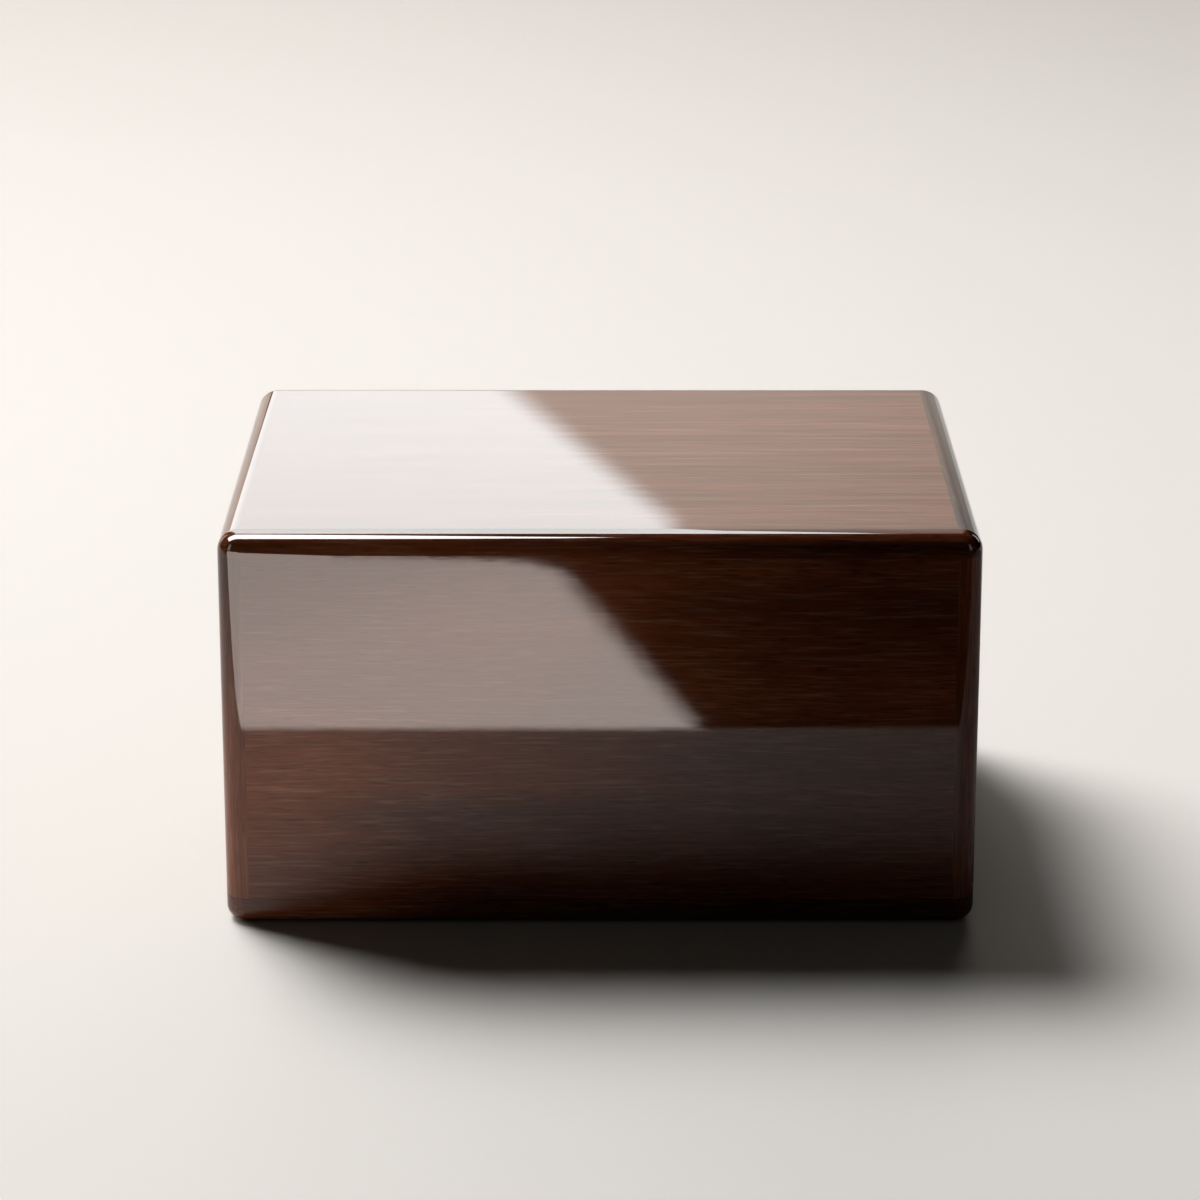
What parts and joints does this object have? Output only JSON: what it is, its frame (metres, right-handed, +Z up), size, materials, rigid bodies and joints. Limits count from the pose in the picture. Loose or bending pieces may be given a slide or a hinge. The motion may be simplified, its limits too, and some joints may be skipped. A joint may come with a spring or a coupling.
{
  "type": "cremation urn chest",
  "caption": "Closed wooden urn chest in dark gloss-lacquered walnut, with rounded edges, that holds cremated remains and is filled through a screwed base board.",
  "frame": {"origin": "centre of the underside, where the chest stands", "axes": "+Z up, +X to the right along the long side as seen from the front, and the front faces -Y"},
  "size_m": [0.28, 0.214, 0.152],
  "materials": {
    "walnut_veneer": "high-gloss clear lacquer over dark walnut veneer",
    "walnut_edge": "high-gloss clear lacquer over solid dark walnut",
    "walnut_base": "gloss lacquer on the edges, satin below",
    "screw_brass": "satin"
  },
  "bodies": {
    "root": {"top_panel": "walnut_veneer", "front_panel": "walnut_veneer", "back_panel": "walnut_veneer", "left_end_panel": "walnut_veneer", "right_end_panel": "walnut_veneer", "corner_strip_front_left": "walnut_edge", "corner_strip_front_right": "walnut_edge", "corner_strip_back_left": "walnut_edge", "corner_strip_back_right": "walnut_edge", "top_strip_front": "walnut_edge", "top_strip_back": "walnut_edge", "top_strip_left": "walnut_edge", "top_strip_right": "walnut_edge", "base_board": "walnut_base", "base_screw_front_left": "screw_brass", "base_screw_front_right": "screw_brass", "base_screw_back_left": "screw_brass", "base_screw_back_right": "screw_brass"}
  },
  "joints": []
}
